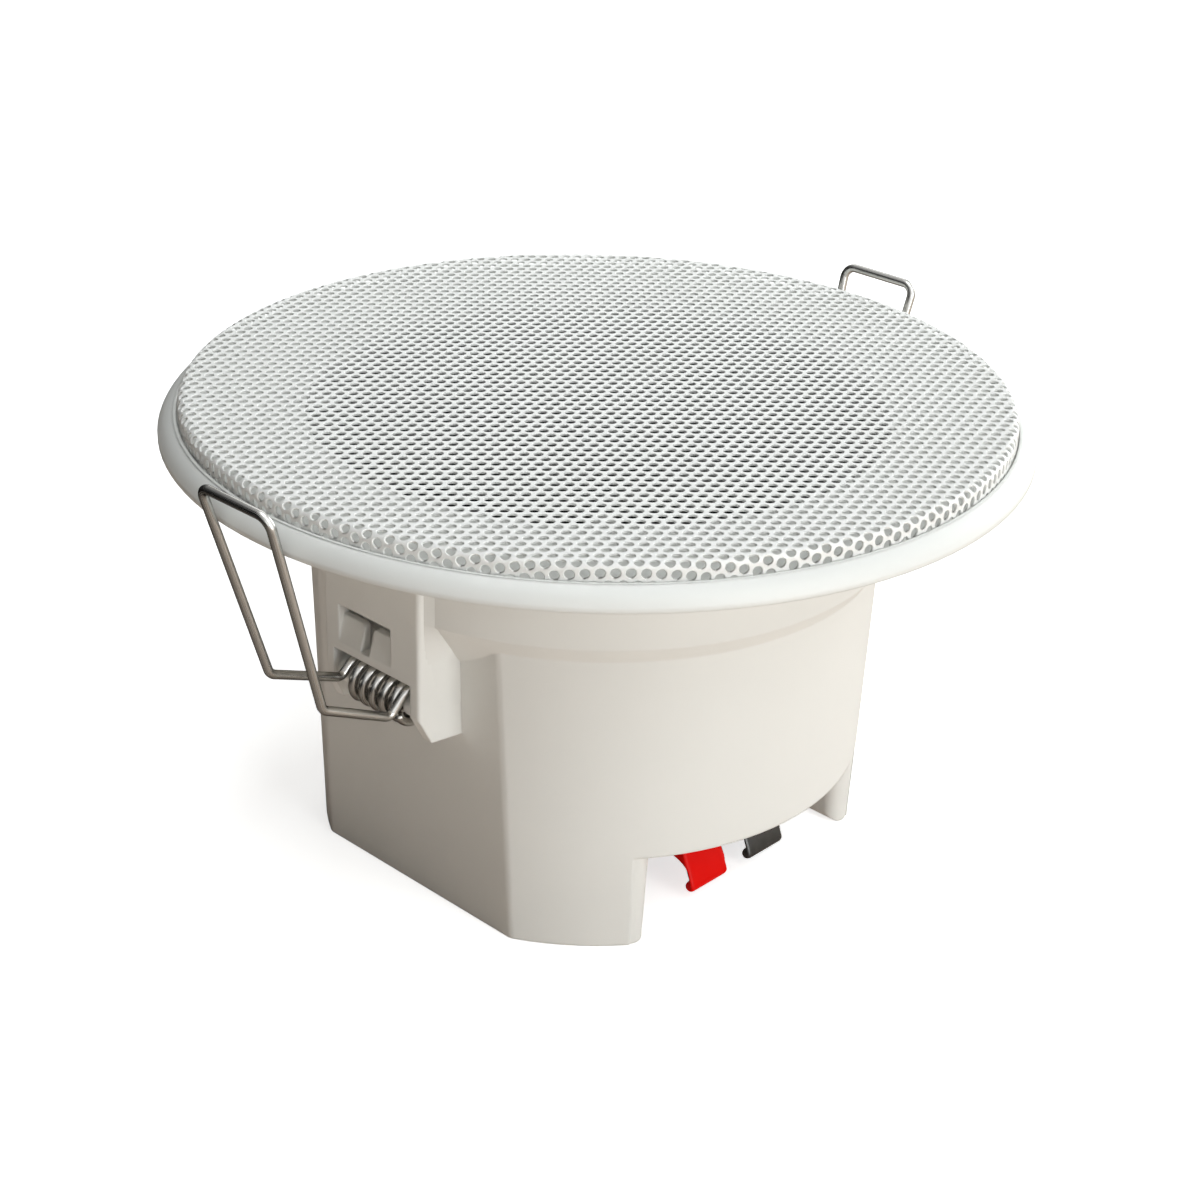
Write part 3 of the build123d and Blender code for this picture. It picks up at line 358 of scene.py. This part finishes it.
def perforatedSheet(name, inner, outer, reach):
    # Six-sided cells on a staggered lattice. Each is a profile carried round its hole: from the cell's outline
    # over the rounded edge, down the wall of the hole and back to the outline on the under side.
    pitch, sides = grille["pitch"], grille["sides"]
    count = int(reach / pitch * 1.2) + 2
    i, j = (v.ravel() for v in np.meshgrid(np.arange(-count, count + 1), np.arange(-count, count + 1)))
    u, v = (i + j / 2) * pitch, j * pitch * math.sqrt(3) / 2
    spin = math.radians(grille["rowAngle"])
    centres = np.stack([u * math.cos(spin) - v * math.sin(spin), u * math.sin(spin) + v * math.cos(spin)], -1)
    far = np.hypot(*centres.T)
    centres = centres[(far >= inner) & (far < outer)]
    angle = np.arange(sides) * 2 * math.pi / sides
    outline = pitch / 2 / np.cos((angle + math.pi / 6) % (math.pi / 3) - math.pi / 6)
    hole = np.full(sides, grille["hole"] / 2)
    out = np.stack([outline, hole + grille["round"], hole, hole, outline])  # station of the profile, side
    depth = np.array([0.0, 0.0, grille["round"], grille["sheet"], grille["sheet"]])
    ring = np.stack([np.cos(angle + spin), np.sin(angle + spin)], -1)
    flat = centres[:, None, None, :] + out[None, :, :, None] * ring  # cell, station, side, xy
    cut = np.minimum(1, reach / np.hypot(flat[..., 0], flat[..., 1]))  # holds the sheet inside its cut edge
    flat = flat * cut[..., None]
    points, normal = dishPoint(flat, depth[None, :, None])
    across = np.concatenate([np.broadcast_to(-ring, flat.shape), np.zeros((*flat.shape[:3], 1))], -1)
    across = across - (across * normal).sum(-1, keepdims=True) * normal
    across = across / np.linalg.norm(across, axis=-1, keepdims=True)
    # Quads between neighbouring stations, with the sheet's normal on its faces and the hole's on its wall
    cells, stations = flat.shape[:2]
    loop = np.arange(cells * stations * sides).reshape(cells, stations, sides)
    following = np.roll(loop, -1, axis=2)
    near, farther = loop[:, :-1], loop[:, 1:]
    faces = np.stack([near, following[:, :-1], following[:, 1:], farther], -1)
    first = np.stack([normal[:, 0], normal[:, 1], across[:, 2], -normal[:, 3]], 1)
    second = np.stack([normal[:, 1], across[:, 2], across[:, 3], -normal[:, 4]], 1)
    shade = np.stack([first, np.roll(first, -1, axis=2), np.roll(second, -1, axis=2), second], 3)
    faces, shade = faces.reshape(-1, 4), shade.reshape(-1, 4, 3)
    # Weld shared outlines, then drop faces that the cut edge has closed up
    points = points.reshape(-1, 3)
    _, kept, back = np.unique(np.round(points, grille["weld"]), axis=0, return_index=True, return_inverse=True)
    faces = back.reshape(-1)[faces]
    span = points[kept][faces]
    area = np.linalg.norm(np.cross(span[:, 2] - span[:, 0], span[:, 3] - span[:, 1]), axis=-1)
    whole = (area > grille["sliver"]) & (np.diff(np.sort(faces, axis=1), axis=1) > 0).all(1)
    faces, shade = faces[whole], shade[whole]
    used, renumber = np.unique(faces, return_inverse=True)
    points, faces = points[kept][used], renumber.reshape(faces.shape)
    if outer > reach:  # a square hem carried round the cut edge closes it
        turn = np.arange(grille["hemSteps"]) * 2 * math.pi / grille["hemSteps"]
        edge, low, wide, tall = grilleHigh[0], grilleLow[2], grille["sheet"], grille["hem"]
        r, z = edge - np.array([0.0, wide, wide, 0.0]), low + np.array([0.0, 0.0, tall, tall])
        hem = np.stack([np.outer(np.cos(turn), r), np.outer(np.sin(turn), r), np.tile(z, (len(turn), 1))], -1)
        band = gridFaces(len(turn) + 1, 4, closeColumns=True) % (4 * len(turn))
        band = band + len(points)
        points = np.concatenate([points, hem.reshape(-1, 3)])
        span = points[band]
        flat = unit(np.cross(span[:, 2] - span[:, 0], span[:, 3] - span[:, 1]))
        faces = np.concatenate([faces, band])
        shade = np.concatenate([shade, np.repeat(flat[:, None], 4, axis=1)])
    piece = makePiece(name, points, [faces], finish["grille"], "main")
    piece.data.normals_split_custom_set(shade.reshape(-1, 3).tolist())
    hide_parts("grille")
    print(name, cells, "holes,", 2 * len(faces), "triangles")
    return piece


sheetReach = grilleHigh[0] + grilleHigh[2] - grilleLow[2] + (math.pi / 2 - 2) * grille["corner"]
bounds = [0.0, *grille["splits"], sheetReach + grille["pitch"] / 2]
for name, inner, outer in zip(("grilleFace", "grilleMiddle", "grilleEdge"), bounds[:-1], bounds[1:]):
    perforatedSheet(name, inner, outer, sheetReach)


# Spring clips
clip = {"wire": 0.8, "coil": 3.55, "pitch": 2.45, "turns": 5.81, "start": 6.4, "lastTurn": -6.7, "settle": 0.1,
        "hookStart": -7.2, "hookShift": -0.8, "hookEnd": -20.0, "endHalf": 8.2, "tight": 1.4, "wide": 2.2,
        "leftFoot": (-4.3, 6.45, 0.9), "leftBend": (-19.0, 6.5, 6.9), "rightBend": (-19.0, -6.5, 5.6),
        "rightFoot": (-5.2, -6.7, -1.0), "sides": 16, "coilSteps": 260, "hookSteps": 40, "bendSteps": 10}
joint = next(j for j in frame["joints"] if j["name"] == "left_clip_fold")
pivot = np.array(joint["pos_m"]) / mm
clipLow, clipHigh = (np.array(v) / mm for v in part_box("left_clip"))


def coilPoint(phi, y):  # angle phi about the pivot, distance y along it
    around = clip["coil"] * np.stack([np.cos(phi), 0 * phi, np.sin(phi)], -1)
    return pivot + around + np.multiply.outer(y, [0.0, 1.0, 0.0])


def touchAngle(corner):  # where the straight run from a corner touches the coil
    x, z = corner[0] - pivot[0], corner[2] - pivot[2]
    return math.atan2(z, x) % (2 * math.pi) - math.acos(clip["coil"] / math.hypot(x, z))


def roundedPath(corners, radii, steps):
    # Straight runs with each corner replaced by a circular arc that touches both runs
    a, b, c = corners[:-2], corners[1:-1], corners[2:]
    inward, outward = unit(a - b), unit(c - b)
    half = np.arccos(np.clip((inward * outward).sum(-1), -1, 1)) / 2
    middle = b + unit(inward + outward) * (radii / np.sin(half))[:, None]
    start = b + inward * (radii / np.tan(half))[:, None]
    sweep = (math.pi - 2 * half)[:, None, None] * np.linspace(0, 1, steps)[None, :, None]
    arcs = unit(start - middle)[:, None] * np.cos(sweep) - inward[:, None] * np.sin(sweep)
    arcs = middle[:, None] + radii[:, None, None] * arcs
    return np.concatenate([corners[:1], arcs.reshape(-1, 3), corners[-1:]])


def wireTube(name, path, turned, body, node):
    # A circle carried along the path. The twist between neighbouring directions is added up and taken out, so
    # the tube doesn't wring. UV runs in mm, along the wire and round it.
    radius, sides = clip["wire"], clip["sides"]
    tangent = unit(np.gradient(path, axis=0))
    guide = np.where(np.abs(tangent[:, 1:2]) > 0.7, [[0.8, 0.0, 0.6]], [[0.0, 1.0, 0.0]])
    normal = unit(guide - (guide * tangent).sum(-1, keepdims=True) * tangent)
    other = np.cross(tangent, normal)
    carried = normal[:-1] - (normal[:-1] * tangent[1:]).sum(-1, keepdims=True) * tangent[1:]
    twist = np.arctan2((carried * other[1:]).sum(-1), (carried * normal[1:]).sum(-1))
    twist = np.concatenate([[0.0], np.cumsum(twist)])[:, None]
    cos, sin = np.cos(twist), np.sin(twist)
    normal, other = normal * cos + other * sin, other * cos - normal * sin
    angle = np.linspace(0, 2 * math.pi, sides, endpoint=False)[None, :, None]
    points = path[:, None] + radius * (normal[:, None] * np.cos(angle) + other[:, None] * np.sin(angle))
    points = np.concatenate([points.reshape(-1, 3), path[:1], path[-1:]])
    if turned:
        points = points * [-1, -1, 1]
    tube = gridFaces(len(path), sides, closeColumns=True)
    last = len(path) * sides
    ring = np.arange(sides)
    caps = np.concatenate([
        np.stack([np.full(sides, last), (ring + 1) % sides, ring], -1),
        np.stack([np.full(sides, last + 1), last - sides + ring, last - sides + (ring + 1) % sides], -1),
    ])
    run = np.concatenate([[0.0], np.cumsum(np.linalg.norm(np.diff(path, axis=0), axis=-1))])
    corner = np.array([[0, 0], [0, 1], [1, 1], [1, 0]])  # step along and round of a quad's corners
    row, column = tube[:, 0] // sides, tube[:, 0] % sides
    along = run[row[:, None] + corner[:, 0]]
    around = (column[:, None] + corner[:, 1]) * 2 * math.pi * radius / sides
    uv = np.concatenate([np.stack([along, around], -1).reshape(-1, 2), np.zeros((caps.size, 2))])
    piece = makePiece(name, points, [tube, caps], finish["spring"], body, uv)
    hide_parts(node)
    return piece


leftFoot, rightFoot = pivot + clip["leftFoot"], pivot + clip["rightFoot"]
endX, endZ = clipLow[0] + clip["wire"], clipHigh[2] - clip["wire"]
coilStart, hookStart = touchAngle(leftFoot), touchAngle(rightFoot)
turn = np.linspace(0, clip["turns"], clip["coilSteps"])
across = clip["start"] - clip["pitch"] * turn
settle = clip["settle"]
across = np.logaddexp(across / settle, clip["lastTurn"] / settle) * settle  # the last turn closes up flat
coilPath = coilPoint(coilStart - 2 * math.pi * turn, across)
share = np.linspace(0, 1, clip["hookSteps"])
hookTurn = hookStart + (math.radians(clip["hookEnd"]) - hookStart) * share
hookOut = np.sin(np.minimum(share * 2, 1) * math.pi / 2)
hookPath = coilPoint(hookTurn, clip["hookStart"] + clip["hookShift"] * hookOut)
loop = np.array([
    coilPath[0], leftFoot, pivot + clip["leftBend"], [endX, clip["endHalf"], endZ],
    [endX, -clip["endHalf"], endZ], pivot + clip["rightBend"], rightFoot, hookPath[0],
])
bends = np.array([clip["tight"], *[clip["wide"]] * 4, clip["tight"]])
wire = np.concatenate([coilPath[:0:-1], roundedPath(loop, bends, clip["bendSteps"]), hookPath[1:]])
wireTube("leftClipWire", wire, False, "left_spring", "left_clip")
wireTube("rightClipWire", wire, True, "right_spring", "right_clip")
print("clip wires made,", len(wire), "stations")


# Camera, floor and light
camera = {"azimuth": -47.133, "elevation": 26.715, "roll": 1.85, "distance": 407.659, "side": 1.299,
          "height": 40.947, "lens": 67.938, "sensor": 36.0, "clip": (0.01, 20.0)}
azimuth, elevation, roll = (math.radians(camera[k]) for k in ("azimuth", "elevation", "roll"))
right = Vector((math.cos(azimuth), math.sin(azimuth), 0))
towards = Vector((math.sin(azimuth), -math.cos(azimuth), 0))
back = towards * math.cos(elevation) + Vector((0, 0, math.sin(elevation)))
up = back.cross(right)
rightRolled = right * math.cos(roll) + up * math.sin(roll)
upRolled = up * math.cos(roll) - right * math.sin(roll)
spot = right * camera["side"] + Vector((0, 0, camera["height"])) + back * camera["distance"]
cameraData = bpy.data.cameras.new("photoCamera")
cameraData.sensor_width, cameraData.sensor_fit = camera["sensor"], "HORIZONTAL"
cameraData.lens = camera["lens"]
cameraData.clip_start, cameraData.clip_end = camera["clip"]
cameraObject = bpy.data.objects.new("photoCamera", cameraData)
turned = Matrix((rightRolled, upRolled, back)).transposed().to_4x4()
cameraObject.matrix_world = Matrix.Translation(spot * mm) @ turned
bpy.context.scene.collection.objects.link(cameraObject)
bpy.context.scene.camera = cameraObject
bpy.context.scene.view_settings.view_transform = "Standard"


# The floor colour that gloss rays see on the side away from the lamps is painted shade
stage = {"seen": ("#F6F6F5", "#FAFAF9"), "mottle": 60.0, "bounce": "#F5E4D6", "glow": 0.7, "runOut": (0.4, 1.2),
         "height": -0.2, "reach": 3000.0, "sky": "#FFFFFF", "brightSide": (0.8, 0.2, 0.55), "skyShade": (0.02, 1.0),
         "skyFade": 0.6, "paintedShadeForGloss": "#2A2825", "floorFade": 0.22, "aim": (0, 0, 0.05)}
sideAim = stage["brightSide"]  # shares of the camera's right, towards the camera and up
brightSide = (right * sideAim[0] + towards * sideAim[1] + Vector((0, 0, sideAim[2]))).normalized()


def rayKinds(tree, place, reach):
    # What the camera and clear plastic see, what gloss sees, and how far a place lies towards the lit side
    path = addNode(tree, "ShaderNodeLightPath")
    clear = addNode(tree, "ShaderNodeMath", {"operation": "MAXIMUM"},
                    links={0: path.outputs["Is Camera Ray"], 1: path.outputs["Is Transmission Ray"]})
    dot = addNode(tree, "ShaderNodeVectorMath", {"operation": "DOT_PRODUCT"}, {1: brightSide}, {0: place})
    lit = addNode(tree, "ShaderNodeMapRange", {"interpolation_type": "SMOOTHSTEP"},
                  {"From Min": -reach, "From Max": reach}, {"Value": dot.outputs["Value"]})
    return clear.outputs[0], path.outputs["Is Glossy Ray"], lit.outputs["Result"]


floorMaterial, tree, shader = newMaterial("paleStudioFloor")
tree.nodes.remove(shader)
place = addNode(tree, "ShaderNodeTexCoord")
clear, shiny, lit = rayKinds(tree, place.outputs["Object"], stage["floorFade"])
mottle = addNode(tree, "ShaderNodeTexNoise", values={"Scale": 1 / (stage["mottle"] * mm)},
                 links={"Vector": place.outputs["Object"]})
seenDark, seenLight = (hexLinear(colour) for colour in stage["seen"])
seen = addNode(tree, "ShaderNodeMix", {"data_type": "RGBA"}, {"A": seenDark, "B": seenLight},
               {"Factor": mottle.outputs["Fac"]})
# Gloss rays see the floor with painted shade: dark on the side away from the lamps, running to the bounce colour
# towards them
mirrored = addNode(tree, "ShaderNodeMix", {"data_type": "RGBA"},
                   {"A": hexLinear(stage["paintedShadeForGloss"]), "B": hexLinear(stage["bounce"])}, {"Factor": lit})
cast = addNode(tree, "ShaderNodeMix", {"data_type": "RGBA"}, {"A": hexLinear(stage["bounce"])},
               {"Factor": shiny, "B": mirrored.outputs["Result"]})
tint = addNode(tree, "ShaderNodeMix", {"data_type": "RGBA"}, links={
    "Factor": clear, "A": cast.outputs["Result"], "B": seen.outputs["Result"]})
far = addNode(tree, "ShaderNodeVectorMath", {"operation": "LENGTH"}, links={0: place.outputs["Object"]})
runOut = {"From Min": stage["runOut"][0], "From Max": stage["runOut"][1], "To Min": stage["glow"], "To Max": 1.0}
fade = addNode(tree, "ShaderNodeMapRange", values=runOut,
               links={"Value": far.outputs["Value"]})  # away from the lamps the floor runs out to white
level = addNode(tree, "ShaderNodeMath", {"operation": "MULTIPLY"}, links={0: clear, 1: fade.outputs["Result"]})
matt = addNode(tree, "ShaderNodeBsdfDiffuse", links={"Color": tint.outputs["Result"]})
glow = addNode(tree, "ShaderNodeEmission", links={"Strength": level.outputs[0]})
both = addNode(tree, "ShaderNodeAddShader", links={0: matt.outputs[0], 1: glow.outputs[0]})
tree.links.new(both.outputs[0], tree.nodes["Material Output"].inputs["Surface"])
floorCorners = np.array([[-1, -1, 0], [1, -1, 0], [1, 1, 0], [-1, 1, 0]])
floorPoints = floorCorners * stage["reach"] + [0, 0, stage["height"]]
floorMesh = bpy.data.meshes.new("studioFloor")
floorMesh.from_pydata((floorPoints * mm).tolist(), [], [[0, 1, 2, 3]])
floorMesh.materials.append(floorMaterial)
floor = bpy.data.objects.new("studioFloor", floorMesh)
bpy.context.scene.collection.objects.link(floor)

world = bpy.data.worlds.new("studioWorld")
bpy.context.scene.world = world
world.use_nodes = True
tree = world.node_tree
sky = tree.nodes["Background"]
place = addNode(tree, "ShaderNodeTexCoord")
clear, shiny, lit = rayKinds(tree, place.outputs["Generated"], stage["skyFade"])
shade = {"To Min": stage["skyShade"][0], "To Max": stage["skyShade"][1]}
mirrored = addNode(tree, "ShaderNodeMapRange", values=shade, links={"Value": lit})
cast = addNode(tree, "ShaderNodeMath", {"operation": "MULTIPLY"}, links={0: shiny, 1: mirrored.outputs["Result"]})
level = addNode(tree, "ShaderNodeMapRange", values={"To Max": 1.0},
                links={"Value": clear, "To Min": cast.outputs[0]})
tree.links.new(level.outputs["Result"], sky.inputs["Strength"])
sky.inputs["Color"].default_value = hexLinear(stage["sky"])

# Soft boxes: degrees to the right of the camera, degrees up, size and distance in metres, power in watts
softBoxes = {
    "keyFront": {"around": 45, "up": 15, "size": 0.6, "away": 1.2, "power": 6.3, "colour": "#FCFFFF"},
    "fillFront": {"around": -5, "up": 15, "size": 0.6, "away": 1.2, "power": 0.8, "colour": "#FCFFFF"},
    "keyHigh": {"around": 45, "up": 50, "size": 0.6, "away": 1.2, "power": 4.1, "colour": "#FCFFFF"},
    "topSoft": {"around": 0, "up": 89, "size": 0.6, "away": 1.2, "power": 5.2, "colour": "#FCFFFF"},
    "backRight": {"around": 135, "up": 15, "size": 0.6, "away": 1.2, "power": 6.3, "colour": "#FCFFFF"},
    "backLow": {"around": 180, "up": 25, "size": 0.6, "away": 1.2, "power": 2.4, "colour": "#FCFFFF"},
}
aim = Vector(stage["aim"])
for name, box in softBoxes.items():
    around, lift = math.radians(box["around"]), math.radians(box["up"])
    flat = towards * math.cos(around) + right * math.sin(around)
    data = bpy.data.lights.new(name, "AREA")
    data.size, data.energy, data.color = box["size"], box["power"], hexLinear(box["colour"])[:3]
    lamp = bpy.data.objects.new(name, data)
    lamp.location = (flat * math.cos(lift) + Vector((0, 0, math.sin(lift)))) * box["away"]
    lamp.rotation_euler = (aim - lamp.location).to_track_quat("-Z", "Y").to_euler()
    bpy.context.scene.collection.objects.link(lamp)
print("stage, light and camera set")
